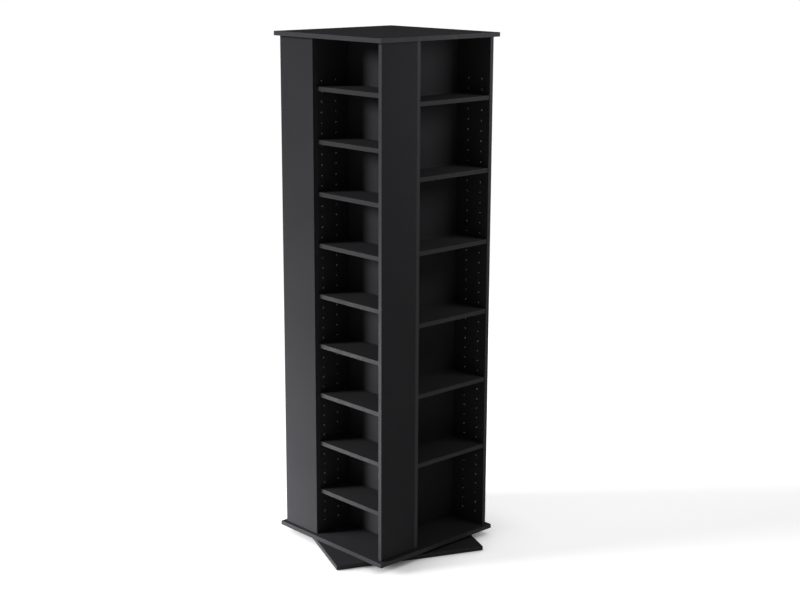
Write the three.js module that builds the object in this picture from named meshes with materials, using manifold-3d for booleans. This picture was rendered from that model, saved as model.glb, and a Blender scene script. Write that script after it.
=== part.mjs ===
// A floor-standing media tower that turns on a ball-bearing swivel.
// Four bays are laid out as a pinwheel round a closed square core: one bay opens to each side.
// Millimetres, +Z up. The origin is on the floor under the centre of the turning axis.
import * as THREE from "three";
import { mergeVertices } from "three/addons/utils/BufferGeometryUtils.js";
import Module from "manifold-3d";

const wasm = await Module();
wasm.setup();

// Overall sizes
const TOTAL_HEIGHT = 1524;
const PLATE_SIDE = 457.2; // the top, bottom and base plates are equal squares
const PLATE_OVERHANG = 12.7; // of the top and bottom plates past the walls
const BOARD = 12.7; // every panel, shelf and plate is cut from the same board
const BAY_START = 144; // from a corner of the body to the near wall of the bay
const BASE_TURN = THREE.MathUtils.degToRad(-23.5); // of the base against the tower, at rest

// Clearances
const JOINT_GAP = 0.2; // glue or contact line between fixed boards
const SEAT_GAP = 0.3; // round a pin, dowel or screw in its hole
const RUN_GAP = 0.35; // between pieces of the swivel that turn past each other
const CUT_OVERRUN = 1; // of a cutter past the face that it opens

// Shelves and the seats that their pins use
const SHELF_SIDE_GAP = 0.8;
const SHELF_FRONT_GAP = 1.5; // of the shelf front behind the edges beside it
const SHELF_BACK_GAP = 0.6; // behind a shelf in the bays where a side panel covers the divider
const SEAT_PITCH = 30; // of the rows of pin holes
const SEAT_START = 22; // height of a shelf top on seat zero, above the inner floor
const LEAST_ROOM = 100; // clear height kept over the highest shelf
const LOW_FIRST_COUNT = 4; // seats up to the lowest shelf, in the bay with low compartments
const LOW_STEP_COUNT = 5; // seats from each of its shelves to the next
const TALL_FIRST_COUNT = 8; // the same, in the bays with tall compartments
const TALL_STEP_COUNT = 7;

// Shelf pins: round pegs, half in the wall and half under the shelf
const FRONT_PIN_ROW = 31; // of the pin holes behind the face of the bay
const BACK_PIN_ROW = 84;
const PEG_RADIUS = 2.5;
const PEG_INSERT = 8; // of the peg into the wall
const PEG_REACH = 8; // of the peg under the shelf
const PEG_DENT_DEPTH = 0.3; // of the peg in the underside of the shelf that rests on it
const HOLE_BOTTOM_GAP = 0.5; // of any blind hole past what it holds

// Dowels between the upright boards and the plates
const DOWEL_RADIUS = 3;
const DOWEL_INSERT = 8; // of the dowel into the plate
const DOWEL_INSET = 30; // of a dowel from the end of its board

// Swivel: two pressed plates with ridges that guide a ring of balls
const SWIVEL_SIDE = 228.6;
const SWIVEL_CORNER_RADIUS = 12;
const SWIVEL_HEIGHT = 6.35;
const SHEET = 1.2;
const SWIVEL_OPENING_RADIUS = 70;
const BALL_CIRCLE_RADIUS = 88;
const BALL_COUNT = 24;
const RIDGE_WIDTH = 6;
const CAGE_WIDTH = 2.2;
const CAGE_THICKNESS = 0.8;

// Swivel screws
const SCREW_INSET = 13; // of a screw from the edges of the swivel plate
const SHANK_RADIUS = 1.75;
const SHANK_DEPTH = 8.5; // of the screw in the board
const SCREW_TIP = 2.5; // length of the pointed end
const HEAD_RADIUS = 3.8;
const HEAD_HEIGHT = 1.6;
const HEAD_TOP_SHARE = 0.8; // of the head's radius that stays flat on top
const ACCESS_RADIUS = 10; // hole in the base that lets a driver reach the upper screws

// Glides under the base
const GLIDE_RADIUS = 12;
const GLIDE_HEIGHT = 1;
const GLIDE_EDGE = 0.3; // bevel of the glide's lower rim
const GLIDE_INSET = 32; // of a glide's centre from the edges of the base

// Facets
const PIN_SIDES = 6;
const SCREW_SIDES = 12;
const GLIDE_SIDES = 16;
const RACE_SIDES = 48;
const HOLE_SIDES = 16;
const BALL_SIDES = 6;
const BALL_RINGS = 4;
const CORNER_SIDES = 4;

// Sizes that follow from the ones above
const BODY_SIDE = PLATE_SIDE - 2 * PLATE_OVERHANG;
const CORE_START = BODY_SIDE - BAY_START; // from a bay's face to the far side of the core
const BAY_WIDTH = BODY_SIDE - BOARD - BAY_START;
const BASE_BOTTOM = GLIDE_HEIGHT + JOINT_GAP;
const BASE_TOP = BASE_BOTTOM + BOARD;
const SWIVEL_BOTTOM = BASE_TOP + JOINT_GAP;
const SWIVEL_TOP = SWIVEL_BOTTOM + SWIVEL_HEIGHT;
const BOTTOM_PLATE_Z = SWIVEL_TOP + JOINT_GAP;
const INNER_FLOOR = BOTTOM_PLATE_Z + BOARD;
const TOP_PLATE_Z = TOTAL_HEIGHT - BOARD;
const INNER_HEIGHT = TOP_PLATE_Z - INNER_FLOOR;
const BALL_RADIUS = (SWIVEL_HEIGHT - 2 * SHEET - 2 * RUN_GAP) / 2;
const SHELF_DEPTH = BAY_START - 2 * BOARD - SHELF_FRONT_GAP - SHELF_BACK_GAP;
const PIN_ROWS = [FRONT_PIN_ROW, BACK_PIN_ROW];
const LOW_LAYOUT = { first: LOW_FIRST_COUNT, step: LOW_STEP_COUNT };
const TALL_LAYOUT = { first: TALL_FIRST_COUNT, step: TALL_STEP_COUNT };
const PEG_DROP = PEG_RADIUS - PEG_DENT_DEPTH; // of the peg's axis under the shelf
const SCREW_PLACE = SWIVEL_SIDE / 2 - SCREW_INSET;
const SCREW_CIRCLE_RADIUS = Math.hypot(SCREW_PLACE, SCREW_PLACE);
const QUARTER_TURN = Math.PI / 2;

// Finishes
const laminate = new THREE.MeshStandardMaterial({ color: "#26252a", roughness: 0.45 });
const shelfLaminate = new THREE.MeshStandardMaterial({ color: "#2b2a2f", roughness: 0.5 });
const zincSteel = new THREE.MeshStandardMaterial({
  color: "#b4b7ba",
  roughness: 0.35,
  metalness: 1,
});
const glidePlastic = new THREE.MeshStandardMaterial({ color: "#3a3a3c", roughness: 0.8 });

// A closed geometry as a solid that can be joined and cut.
function solidOf(geometry) {
  const bare = geometry.clone();
  bare.deleteAttribute("normal");
  bare.deleteAttribute("uv");
  const merged = mergeVertices(bare);
  const mesh = new wasm.Mesh({
    numProp: 3,
    vertProperties: merged.attributes.position.array,
    triVerts: new Uint32Array(merged.index.array),
  });
  return new wasm.Manifold(mesh);
}

// A solid as a flat-shaded geometry.
function geometryOf(solid) {
  const { vertProperties, triVerts } = solid.getMesh();
  const indexed = new THREE.BufferGeometry();
  indexed.setAttribute("position", new THREE.BufferAttribute(vertProperties, 3));
  indexed.setIndex(new THREE.BufferAttribute(triVerts, 1));
  const geometry = indexed.toNonIndexed();
  geometry.computeVertexNormals();
  return geometry;
}

function join(solid, others) {
  return others.reduce((whole, other) => whole.add(other), solid);
}

function cut(solid, cutters) {
  return cutters.reduce((whole, cutter) => whole.subtract(cutter), solid);
}

function pieceOf(name, geometry, material) {
  const piece = new THREE.Mesh(geometry, material);
  piece.name = name;
  return piece;
}

// A block from one corner to the opposite one.
function block(low, high) {
  const size = high.map((value, axis) => value - low[axis]);
  const geometry = new THREE.BoxGeometry(...size);
  geometry.translate(...low.map((value, axis) => value + size[axis] / 2));
  return geometry;
}

// A rod along X, from one end to the other.
function rodAlongX(radius, start, end, y, z, sides) {
  const rod = new THREE.CylinderGeometry(radius, radius, end - start, sides);
  rod.rotateZ(QUARTER_TURN);
  rod.translate((start + end) / 2, y, z);
  return rod;
}

// A rod along Z, from its foot to its head.
function rodAlongZ(radius, bottom, top, x, y, sides) {
  const rod = new THREE.CylinderGeometry(radius, radius, top - bottom, sides);
  rod.rotateX(QUARTER_TURN);
  rod.translate(x, y, (bottom + top) / 2);
  return rod;
}

// A profile of [radius, height] points turned round Z. It runs up on its outer side.
function turned(profile, sides) {
  const points = profile.map(([radius, height]) => new THREE.Vector2(radius, height));
  const lathe = new THREE.LatheGeometry(points, sides);
  lathe.rotateX(QUARTER_TURN);
  return lathe;
}

// A square-sectioned ring round Z.
function ring(innerRadius, outerRadius, bottom, top, sides) {
  const corners = [
    [innerRadius, bottom],
    [outerRadius, bottom],
    [outerRadius, top],
    [innerRadius, top],
  ];
  return turned([...corners, corners[0]], sides);
}

// The corner places of a square round Z, anticlockwise.
function squareCorners(halfSide) {
  return [
    [-halfSide, -halfSide],
    [halfSide, -halfSide],
    [halfSide, halfSide],
    [-halfSide, halfSide],
  ];
}

// Heights of the shelf tops over the inner floor.
function shelfTops(layout) {
  const tops = [];
  const highest = INNER_HEIGHT - LEAST_ROOM;
  let seat = layout.first;
  while (SEAT_START + seat * SEAT_PITCH <= highest) {
    tops.push(SEAT_START + seat * SEAT_PITCH);
    seat += layout.step;
  }
  return tops;
}

// The four bays, each a quarter turn on from the last, clockwise seen from above.
// In every second bay a neighbour's side panel covers the divider's front edge.
// panelFace is the face of the tower that the bay's side panel closes.
const bays = [
  { side: "front", panelFace: "right", layout: TALL_LAYOUT, covered: false },
  { side: "left", panelFace: "front", layout: LOW_LAYOUT, covered: true },
  { side: "back", panelFace: "left", layout: TALL_LAYOUT, covered: false },
  { side: "right", panelFace: "back", layout: TALL_LAYOUT, covered: true },
].map((bay, index) => ({ ...bay, turn: -index * QUARTER_TURN, tops: shelfTops(bay.layout) }));

// The two upright boards of a bay. x runs along the bay's face from a corner of the body,
// y runs into the tower. The pin holes open to the bay's side of each board.
function uprightsOf(bay) {
  return [
    {
      name: `divider_${bay.side}`,
      x: BAY_START - BOARD,
      start: bay.covered ? BOARD + JOINT_GAP : 0,
      end: CORE_START - JOINT_GAP,
      holesOpenTo: BOARD,
    },
    {
      name: `side_panel_${bay.panelFace}`,
      x: BODY_SIDE - BOARD,
      start: 0,
      end: bay.covered ? BAY_START - BOARD - JOINT_GAP : BAY_START,
      holesOpenTo: 0,
    },
  ];
}

// Where an upright's dowels stand, along its own length.
function dowelPlaces(upright) {
  const length = upright.end - upright.start;
  return [DOWEL_INSET, length - DOWEL_INSET];
}

// An upright board with the holes of its shelf pins and the dowels at both of its ends.
function makeUpright(bay, upright) {
  const length = upright.end - upright.start;
  const bottom = JOINT_GAP;
  const top = INNER_HEIGHT - JOINT_GAP;
  const board = solidOf(block([0, 0, bottom], [BOARD, length, top]));

  const holeDepth = PEG_INSERT + HOLE_BOTTOM_GAP;
  const [holeStart, holeEnd] =
    upright.holesOpenTo === 0
      ? [-CUT_OVERRUN, holeDepth]
      : [BOARD - holeDepth, BOARD + CUT_OVERRUN];
  const holes = [];
  for (const shelfTop of bay.tops)
    for (const row of PIN_ROWS) {
      const place = row - upright.start;
      const height = shelfTop - BOARD - PEG_DROP;
      const radius = PEG_RADIUS + SEAT_GAP;
      holes.push(solidOf(rodAlongX(radius, holeStart, holeEnd, place, height, PIN_SIDES)));
    }

  const dowels = [];
  for (const place of dowelPlaces(upright)) {
    const low = rodAlongZ(DOWEL_RADIUS, -DOWEL_INSERT, DOWEL_INSERT, BOARD / 2, place, PIN_SIDES);
    const high = low.clone().translate(0, 0, INNER_HEIGHT);
    dowels.push(solidOf(low), solidOf(high));
  }
  return pieceOf(upright.name, geometryOf(cut(join(board, dowels), holes)), laminate);
}

// A shelf with the four pins that carry it. x and y are zero at the end of its front edge.
function makeShelf(name, frontGap) {
  const width = BAY_WIDTH - 2 * SHELF_SIDE_GAP;
  const board = solidOf(block([0, 0, 0], [width, SHELF_DEPTH, BOARD]));
  const outerEnd = SHELF_SIDE_GAP + PEG_INSERT;
  const pegs = [];
  for (const row of PIN_ROWS) {
    const place = row - frontGap;
    const near = rodAlongX(PEG_RADIUS, -outerEnd, PEG_REACH, place, -PEG_DROP, PIN_SIDES);
    const far = near.clone().translate(width + outerEnd - PEG_REACH, 0, 0);
    pegs.push(solidOf(near), solidOf(far));
  }
  return pieceOf(name, geometryOf(join(board, pegs)), shelfLaminate);
}

// A bay's boards and shelves, round the centre of the tower.
function makeBay(bay) {
  const corner = new THREE.Group();
  corner.position.set(-BODY_SIDE / 2, -BODY_SIDE / 2, INNER_FLOOR);
  for (const upright of uprightsOf(bay)) {
    const piece = makeUpright(bay, upright);
    piece.position.set(upright.x, upright.start, 0);
    corner.add(piece);
  }
  const frontGap = SHELF_FRONT_GAP + (bay.covered ? BOARD : 0);
  bay.tops.forEach((shelfTop, index) => {
    const shelf = makeShelf(`shelf_${bay.side}_${index + 1}`, frontGap);
    shelf.position.set(BAY_START + SHELF_SIDE_GAP, frontGap, shelfTop - BOARD);
    corner.add(shelf);
  });
  const group = new THREE.Group();
  group.add(corner);
  group.rotation.z = bay.turn;
  return group;
}

// The blind holes that take the uprights' dowels, opening to the face at the given height.
function dowelHoles(faceHeight, depthSign) {
  const radius = DOWEL_RADIUS + SEAT_GAP;
  const depth = DOWEL_INSERT + HOLE_BOTTOM_GAP;
  const ends = [faceHeight - depthSign * CUT_OVERRUN, faceHeight + depthSign * depth];
  const holes = [];
  for (const bay of bays)
    for (const upright of uprightsOf(bay))
      for (const place of dowelPlaces(upright)) {
        const x = upright.x + BOARD / 2 - BODY_SIDE / 2;
        const y = upright.start + place - BODY_SIDE / 2;
        const hole = rodAlongZ(radius, Math.min(...ends), Math.max(...ends), x, y, PIN_SIDES);
        holes.push(solidOf(hole.rotateZ(bay.turn)));
      }
  return holes;
}

// A square board round Z, from the height zero up.
function squareBoard() {
  const half = PLATE_SIDE / 2;
  return solidOf(block([-half, -half, 0], [half, half, BOARD]));
}

// Pilot holes for the swivel's screws, from the given face of a board into it.
function pilotHoles(faceHeight, depthSign) {
  const depth = SHANK_DEPTH + HOLE_BOTTOM_GAP;
  const ends = [faceHeight - depthSign * CUT_OVERRUN, faceHeight + depthSign * depth];
  return squareCorners(SCREW_PLACE).map(([x, y]) =>
    solidOf(
      rodAlongZ(
        SHANK_RADIUS + SEAT_GAP,
        Math.min(...ends),
        Math.max(...ends),
        x,
        y,
        SCREW_SIDES,
      ),
    ),
  );
}

function makeBasePlate() {
  const access = rodAlongZ(
    ACCESS_RADIUS,
    -CUT_OVERRUN,
    BOARD + CUT_OVERRUN,
    SCREW_CIRCLE_RADIUS,
    0,
    HOLE_SIDES,
  );
  const solid = cut(squareBoard(), [solidOf(access), ...pilotHoles(BOARD, -1)]);
  return pieceOf("base_plate", geometryOf(solid), laminate);
}

function makeBottomPlate() {
  const solid = cut(squareBoard(), [...dowelHoles(BOARD, -1), ...pilotHoles(0, 1)]);
  return pieceOf("bottom_plate", geometryOf(solid), laminate);
}

function makeTopPlate() {
  return pieceOf("top_plate", geometryOf(cut(squareBoard(), dowelHoles(0, 1))), laminate);
}

function makeGlide(name) {
  const profile = [
    [0, 0],
    [GLIDE_RADIUS - GLIDE_EDGE, 0],
    [GLIDE_RADIUS, GLIDE_EDGE],
    [GLIDE_RADIUS, GLIDE_HEIGHT],
    [0, GLIDE_HEIGHT],
  ];
  return pieceOf(name, turned(profile, GLIDE_SIDES), glidePlastic);
}

// A swivel plate lying on the height zero, with its hollow ridge standing up from it.
function makeSwivelPlate(name, ridgeInnerRadius) {
  const half = SWIVEL_SIDE / 2;
  const radius = SWIVEL_CORNER_RADIUS;
  const straight = half - radius;
  const outline = new THREE.Shape();
  outline.moveTo(half, -straight);
  outline.lineTo(half, straight);
  outline.absarc(straight, straight, radius, 0, QUARTER_TURN);
  outline.lineTo(-straight, half);
  outline.absarc(-straight, straight, radius, QUARTER_TURN, 2 * QUARTER_TURN);
  outline.lineTo(-half, -straight);
  outline.absarc(-straight, -straight, radius, 2 * QUARTER_TURN, 3 * QUARTER_TURN);
  outline.lineTo(straight, -half);
  outline.absarc(straight, -straight, radius, 3 * QUARTER_TURN, 4 * QUARTER_TURN);
  const sheet = new THREE.ExtrudeGeometry(outline, {
    depth: SHEET,
    bevelEnabled: false,
    curveSegments: CORNER_SIDES,
  });

  const ridgeOuterRadius = ridgeInnerRadius + RIDGE_WIDTH;
  const ridgeTop = SWIVEL_HEIGHT - SHEET - RUN_GAP;
  const ridge = ring(ridgeInnerRadius, ridgeOuterRadius, SHEET / 2, ridgeTop, RACE_SIDES);
  const hollow = ring(
    ridgeInnerRadius + SHEET,
    ridgeOuterRadius - SHEET,
    -CUT_OVERRUN,
    ridgeTop - SHEET,
    RACE_SIDES,
  );
  const top = SHEET + CUT_OVERRUN;
  const opening = rodAlongZ(SWIVEL_OPENING_RADIUS, -CUT_OVERRUN, top, 0, 0, RACE_SIDES);
  const screwHoles = squareCorners(SCREW_PLACE).map(([x, y]) =>
    rodAlongZ(SHANK_RADIUS + SEAT_GAP, -CUT_OVERRUN, top, x, y, SCREW_SIDES),
  );
  const joined = join(solidOf(sheet), [solidOf(ridge)]);
  const solid = cut(joined, [hollow, opening, ...screwHoles].map(solidOf));
  return pieceOf(name, geometryOf(solid), zincSteel);
}

// The balls in the thin ring that spaces them, round the origin.
function makeBallCage() {
  const half = CAGE_WIDTH / 2;
  const cage = ring(
    BALL_CIRCLE_RADIUS - half,
    BALL_CIRCLE_RADIUS + half,
    -CAGE_THICKNESS / 2,
    CAGE_THICKNESS / 2,
    RACE_SIDES,
  );
  const balls = Array.from({ length: BALL_COUNT }, (_, index) => {
    const ball = new THREE.SphereGeometry(BALL_RADIUS, BALL_SIDES, BALL_RINGS);
    ball.rotateX(QUARTER_TURN);
    ball.translate(BALL_CIRCLE_RADIUS, 0, 0);
    return solidOf(ball.rotateZ((index * 2 * Math.PI) / BALL_COUNT));
  });
  return pieceOf("swivel_ball_cage", geometryOf(join(solidOf(cage), balls)), zincSteel);
}

// A pan-head screw that points down, with the underside of its head at the height zero.
function makeScrew(name) {
  const length = SHANK_DEPTH + JOINT_GAP + SHEET + JOINT_GAP;
  const profile = [
    [0, -length],
    [SHANK_RADIUS, SCREW_TIP - length],
    [SHANK_RADIUS, 0],
    [HEAD_RADIUS, 0],
    [HEAD_RADIUS, HEAD_HEIGHT / 2],
    [HEAD_RADIUS * HEAD_TOP_SHARE, HEAD_HEIGHT],
    [0, HEAD_HEIGHT],
  ];
  return pieceOf(name, turned(profile, SCREW_SIDES), zincSteel);
}

// One swivel plate with its four screws, lying on the height zero.
function makeSwivelHalf(level, ridgeInnerRadius) {
  const group = new THREE.Group();
  group.add(makeSwivelPlate(`swivel_${level}_plate`, ridgeInnerRadius));
  squareCorners(SCREW_PLACE).forEach(([x, y], index) => {
    const screw = makeScrew(`swivel_${level}_screw_${index + 1}`);
    screw.position.set(x, y, SHEET + JOINT_GAP);
    group.add(screw);
  });
  return group;
}

// The stand: the base plate with its glides and the fixed half of the swivel.
function makeStand() {
  const stand = new THREE.Group();
  const basePlate = makeBasePlate();
  basePlate.position.z = BASE_BOTTOM;
  stand.add(basePlate);
  squareCorners(PLATE_SIDE / 2 - GLIDE_INSET).forEach(([x, y], index) => {
    const glide = makeGlide(`base_glide_${index + 1}`);
    glide.position.set(x, y, 0);
    stand.add(glide);
  });
  const lowerRidge = BALL_CIRCLE_RADIUS - BALL_RADIUS - RUN_GAP - RIDGE_WIDTH;
  const lowerHalf = makeSwivelHalf("lower", lowerRidge);
  lowerHalf.position.z = SWIVEL_BOTTOM;
  stand.add(lowerHalf);
  stand.rotation.z = BASE_TURN;
  return stand;
}

// The tower that turns on the stand.
function makeTower() {
  const tower = new THREE.Group();
  const bottomPlate = makeBottomPlate();
  bottomPlate.position.z = BOTTOM_PLATE_Z;
  const topPlate = makeTopPlate();
  topPlate.position.z = TOP_PLATE_Z;
  tower.add(bottomPlate, topPlate, ...bays.map(makeBay));

  const upperRidge = BALL_CIRCLE_RADIUS + BALL_RADIUS + RUN_GAP;
  const upperHalf = makeSwivelHalf("upper", upperRidge);
  upperHalf.rotation.x = 2 * QUARTER_TURN;
  upperHalf.position.z = SWIVEL_TOP;
  tower.add(upperHalf);
  return tower;
}

const ballCage = makeBallCage();
ballCage.position.z = (SWIVEL_BOTTOM + SWIVEL_TOP) / 2;

const mediaTower = new THREE.Group();
mediaTower.add(makeStand(), ballCage, makeTower());

export default mediaTower;
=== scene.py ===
"""Dresses the rotating media tower for a studio picture, in metres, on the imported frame.

Every board is a slab whose edges are rounded, with edge band on the edges that show, raw chipboard on
those that don't, and the drilled rows that its shelf pins can be moved to.
"""

import logging
import math
from collections.abc import Callable, Sequence
from dataclasses import dataclass, field, replace
from enum import Enum, IntEnum
from functools import partial

import bpy
import numpy as np
from bpy.types import Camera, Light, Material, Mesh, Node, NodeSocket, NodeTree, Object
from mathutils import Matrix, Vector


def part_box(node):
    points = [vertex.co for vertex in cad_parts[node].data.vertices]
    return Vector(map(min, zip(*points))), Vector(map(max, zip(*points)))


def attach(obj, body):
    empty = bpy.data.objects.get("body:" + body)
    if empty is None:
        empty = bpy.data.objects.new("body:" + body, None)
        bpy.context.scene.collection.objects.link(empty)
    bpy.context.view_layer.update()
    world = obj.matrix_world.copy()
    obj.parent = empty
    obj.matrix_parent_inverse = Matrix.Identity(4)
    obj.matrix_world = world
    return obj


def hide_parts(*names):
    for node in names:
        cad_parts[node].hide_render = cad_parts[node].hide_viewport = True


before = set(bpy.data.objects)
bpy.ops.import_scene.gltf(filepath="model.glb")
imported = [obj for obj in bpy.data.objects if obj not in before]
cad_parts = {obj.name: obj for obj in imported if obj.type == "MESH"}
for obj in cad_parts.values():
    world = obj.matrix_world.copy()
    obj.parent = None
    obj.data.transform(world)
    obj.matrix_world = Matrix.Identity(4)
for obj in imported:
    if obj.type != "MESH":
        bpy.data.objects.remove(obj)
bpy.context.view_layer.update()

MM = 0.001
WHITE = (1.0, 1.0, 1.0, 1.0)

# Points that lie closer together than this are one
SAME_PLACE = MM / 1000

# Sizes that the dressed boards share with the frame
BOARD = 12.7 * MM
JOINT_GAP = 0.2 * MM
BASE_TURN = math.radians(-23.5)
BODY_HALF = 215.9 * MM
PIN_ROWS = (31 * MM, 84 * MM)
SEAT_PITCH = 30 * MM
FIRST_PIN_HEIGHT = 7.1 * MM
PEG_RADIUS = 2.5 * MM
PEG_DROP = 2.2 * MM
SHELF_SIDE_GAP = 0.8 * MM
PEG_INSERT = 8 * MM
PEG_REACH = 8 * MM

log = logging.getLogger("media_tower")


class BoardFinish(IntEnum):
    """What covers a side of a board. Where two meet on a rounded edge, the higher one laps over."""

    RAW = 0
    LAMINATE = 1
    BAND = 2


RAW, LAMINATE, BAND = BoardFinish


class Side(Enum):
    """The side that a bay opens to, as its quarter turns clockwise from the front."""

    FRONT = 0
    LEFT = 1
    BACK = 2
    RIGHT = 3

    @property
    def label(self) -> str:
        """The side's name as the frame's nodes have it."""
        return self.name.lower()


def linear(hex_colour: str) -> tuple[float, float, float, float]:
    """Turns an sRGB hex colour to linear light.

    Args:
        hex_colour: Six hex digits after a hash sign.

    Returns:
        Red, green and blue from 0 to 1 in linear light, and an alpha of 1.
    """
    # The sRGB curve is a straight line near black and a power above it.
    channels = np.array([int(hex_colour[start : start + 2], 16) for start in (1, 3, 5)]) / 255
    light = np.where(channels <= 0.04045, channels / 12.92, ((channels + 0.055) / 1.055) ** 2.4)
    return (*light.tolist(), 1.0)


def add_node(tree: NodeTree, kind: str, links: dict | None = None, **settings) -> Node:
    """Adds a node to a material or world.

    Inputs that share a name are told apart by number. A mix node takes its share at 0, plain numbers at
    2 and 3 and colours at 6 and 7, and gives the mixed colour at its output 2.

    Args:
        tree: The node tree that takes the node.
        kind: The node's type.
        links: For each input, by name or number, what feeds it: a plain value, an output socket, or a
            node, which gives its first output.
        **settings: Properties of the node itself.

    Returns:
        The new node.
    """
    node = tree.nodes.new(kind)
    for key, value in settings.items():
        setattr(node, key, value)
    for key, source in (links or {}).items():
        feed = source.outputs[0] if isinstance(source, Node) else source
        if isinstance(feed, NodeSocket):
            tree.links.new(feed, node.inputs[key])
        else:
            node.inputs[key].default_value = feed
    return node


def new_material(name: str) -> tuple[Material, Callable[..., Node]]:
    """Makes an empty node material.

    Args:
        name: The material's name.

    Returns:
        The material, and add_node for its own node tree.
    """
    material = bpy.data.materials.new(name)
    material.use_nodes = True
    material.node_tree.nodes.clear()
    return material, partial(add_node, material.node_tree)


@dataclass(frozen=True)
class PressedLaminate:
    """Melamine-faced chipboard, pressed against a pebbled plate: an even black that is nearly matt.

    The pebble scatters what the face reflects, so that it stays dark where the light grazes it, and
    handling leaves slightly glossier and duller patches.
    """

    name: str = "melamine_laminate_satin"
    dark: str = "#313133"
    light: str = "#373739"
    smoothest: float = 0.85
    roughest: float = 0.91
    rim_wear: float = 0.2
    specular: float = 0.001
    cloud_size: float = 260 * MM
    smudge_size: float = 38 * MM
    # The real pebble is about 0.4 mm, too fine to show, so it is drawn coarser.
    pebble_size: float = 1.8 * MM
    pebble_depth: float = 0.05 * MM

    def build(self) -> Material:
        """Makes the material.

        Returns:
            The material.
        """
        material, add = new_material(self.name)
        place = add("ShaderNodeTexCoord").outputs["Object"]
        rim = add("ShaderNodeAttribute", attribute_name="rim").outputs["Fac"]
        cloud, smudge, pebble = (
            add("ShaderNodeTexNoise", {"Vector": place, "Scale": 1 / size, **character})
            for size, character in (
                (self.cloud_size, {"Detail": 4.0, "Roughness": 0.55}),
                (self.smudge_size, {"Detail": 3.0, "Distortion": 0.6}),
                (self.pebble_size, {"Detail": 2.0, "Roughness": 0.4}),
            )
        )
        tones = {0: cloud, 6: linear(self.dark), 7: linear(self.light)}
        colour = add("ShaderNodeMix", tones, data_type="RGBA").outputs[2]
        patches = add("ShaderNodeMath", {0: cloud, 1: smudge}, operation="ADD")
        worn = add("ShaderNodeMath", {0: rim, 1: self.rim_wear, 2: patches}, operation="MULTIPLY_ADD")
        span = {"From Min": 0.7, "From Max": 1.3, "To Min": self.smoothest, "To Max": self.roughest}
        roughness = add("ShaderNodeMapRange", {"Value": worn, **span})
        bump = add("ShaderNodeBump", {"Height": pebble, "Strength": 0.5, "Distance": self.pebble_depth})
        look = {"Base Color": colour, "Roughness": roughness, "Normal": bump}
        shader = add("ShaderNodeBsdfPrincipled", {**look, "Specular IOR Level": self.specular})
        add("ShaderNodeOutputMaterial", {"Surface": shader})
        return material


@dataclass(frozen=True)
class EdgeBand:
    """ABS edge band, ironed on and trimmed: a thin satin strip, whose gloss makes it paler than the faces.

    Trimming leaves fine lengthwise lines, and knocks show as pale rubbed spots on the rounded edges.
    """

    name: str = "abs_edge_band_satin"
    dark: str = "#2d2d2f"
    light: str = "#37373a"
    rubbed: str = "#4a4a4c"
    specular: float = 0.085
    smoothest: float = 0.44
    roughest: float = 0.6
    knock_size: float = 24 * MM
    # The trimming lines are about 0.2 mm apart, so they are drawn coarser to show.
    line_size: float = 1.2 * MM
    line_depth: float = 0.015 * MM

    def build(self) -> Material:
        """Makes the material.

        Returns:
            The material.
        """
        material, add = new_material(self.name)
        place = add("ShaderNodeTexCoord").outputs["Object"]
        rim = add("ShaderNodeAttribute", attribute_name="rim").outputs["Fac"]
        grain = {"Scale": 1 / self.knock_size, "Detail": 3.0, "Roughness": 0.5}
        knocks = add("ShaderNodeTexNoise", {"Vector": place, **grain})
        lines = add("ShaderNodeTexNoise", {"Vector": place, "Scale": 1 / self.line_size, "Detail": 1.0})
        tones = {0: knocks, 6: linear(self.dark), 7: linear(self.light)}
        colour = add("ShaderNodeMix", tones, data_type="RGBA").outputs[2]
        high_spots = add("ShaderNodeMapRange", {"Value": knocks, "From Min": 0.54, "From Max": 0.8})
        rubbing = add("ShaderNodeMath", {0: high_spots, 1: rim}, operation="MULTIPLY")
        wear = {0: rubbing, 6: colour, 7: linear(self.rubbed)}
        rubbed = add("ShaderNodeMix", wear, data_type="RGBA").outputs[2]
        span = {"From Min": 0.3, "From Max": 0.7, "To Min": self.smoothest, "To Max": self.roughest}
        roughness = add("ShaderNodeMapRange", {"Value": knocks, **span})
        bump = add("ShaderNodeBump", {"Height": lines, "Strength": 0.4, "Distance": self.line_depth})
        look = {"Base Color": rubbed, "Roughness": roughness, "Normal": bump}
        shader = add("ShaderNodeBsdfPrincipled", {**look, "Specular IOR Level": self.specular})
        add("ShaderNodeOutputMaterial", {"Surface": shader})
        return material


@dataclass(frozen=True)
class RawChipboard:
    """Sawn or drilled chipboard: pale chips and darker pits with no gloss, the core of every board."""

    name: str = "particleboard_sawn"
    pale: str = "#dcdad6"
    dark: str = "#a8a49e"
    roughness: float = 0.9
    chip_size: float = 2.5 * MM
    fibre_size: float = 1.25 * MM
    pit_depth: float = 0.3 * MM

    def build(self) -> Material:
        """Makes the material.

        Returns:
            The material.
        """
        material, add = new_material(self.name)
        place = add("ShaderNodeTexCoord").outputs["Object"]
        grain = {"Scale": 1 / self.chip_size, "Randomness": 1.0}
        chips = add("ShaderNodeTexVoronoi", {"Vector": place, **grain})
        fibres = add("ShaderNodeTexNoise", {"Vector": place, "Scale": 1 / self.fibre_size, "Detail": 4.0})
        tone = add("ShaderNodeMath", {0: chips.outputs["Color"], 1: fibres}, operation="MULTIPLY")
        tones = {0: tone, 6: linear(self.pale), 7: linear(self.dark)}
        colour = add("ShaderNodeMix", tones, data_type="RGBA").outputs[2]
        bump = add("ShaderNodeBump", {"Height": chips, "Strength": 0.6, "Distance": self.pit_depth})
        look = {"Base Color": colour, "Roughness": self.roughness, "Normal": bump}
        shader = add("ShaderNodeBsdfPrincipled", look)
        add("ShaderNodeOutputMaterial", {"Surface": shader})
        return material


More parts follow.
